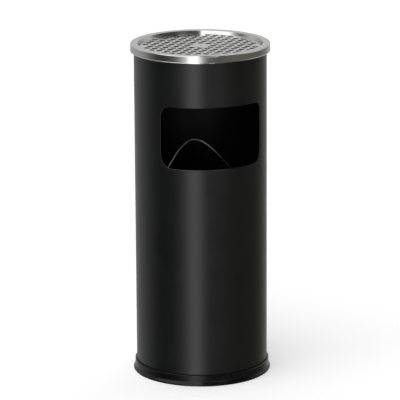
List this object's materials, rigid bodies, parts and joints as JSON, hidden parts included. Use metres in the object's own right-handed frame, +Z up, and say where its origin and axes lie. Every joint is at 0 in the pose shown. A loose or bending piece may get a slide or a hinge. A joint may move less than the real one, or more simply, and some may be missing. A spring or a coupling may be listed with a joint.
{
  "type": "ashtray bin",
  "caption": "Free-standing round litter bin with an ash tray on top, a side waste opening, a lift-out inner bucket with a wire bail and a foot ring.",
  "frame": {"origin": "centre of the foot ring, on the ground", "axes": "+Z up along the bin's axis; the waste opening faces -Y; +X to the right seen from the opening"},
  "size_m": [0.253, 0.253, 0.61],
  "materials": {
    "black_coating": "satin",
    "foot_plastic": "semi-gloss",
    "galvanised": "dull",
    "wire": "bright drawn",
    "stainless": "satin",
    "stainless_grid": "satin"
  },
  "bodies": {
    "shell": {"body_shell": "black_coating", "base_pan": "black_coating", "base_ring": "foot_plastic"},
    "liner": {"liner_wall": "galvanised", "liner_bottom": "galvanised", "liner_rim_wire": "wire", "bail_ear_right": "galvanised", "bail_ear_left": "galvanised", "ear_rivets": "wire"},
    "bail": {"bail_wire": "wire"},
    "tray": {"tray_rim": "stainless", "tray_bowl": "stainless"},
    "grid": {"grid_plate": "stainless_grid"}
  },
  "joints": [
    {"name": "tray_lift", "type": "slide", "parent": "shell", "child": "tray", "axis": [0, 0, 1], "range_m": [0, 0.77]},
    {"name": "liner_lift", "type": "slide", "parent": "shell", "child": "liner", "axis": [0, 0, 1], "range_m": [0, 0.62]},
    {"name": "grid_lift", "type": "slide", "parent": "tray", "child": "grid", "axis": [0, 0, 1], "range_m": [0, 0.06]},
    {"name": "bail_swing", "type": "hinge", "parent": "liner", "child": "bail", "pos_m": [0, 0, 0.31], "axis": [0.9703, 0.2419, 0], "range_deg": [-67, 97]}
  ],
  "couplings": [
    {"joint": "liner_lift", "follows": "tray_lift", "ratio": 0.8}
  ]
}
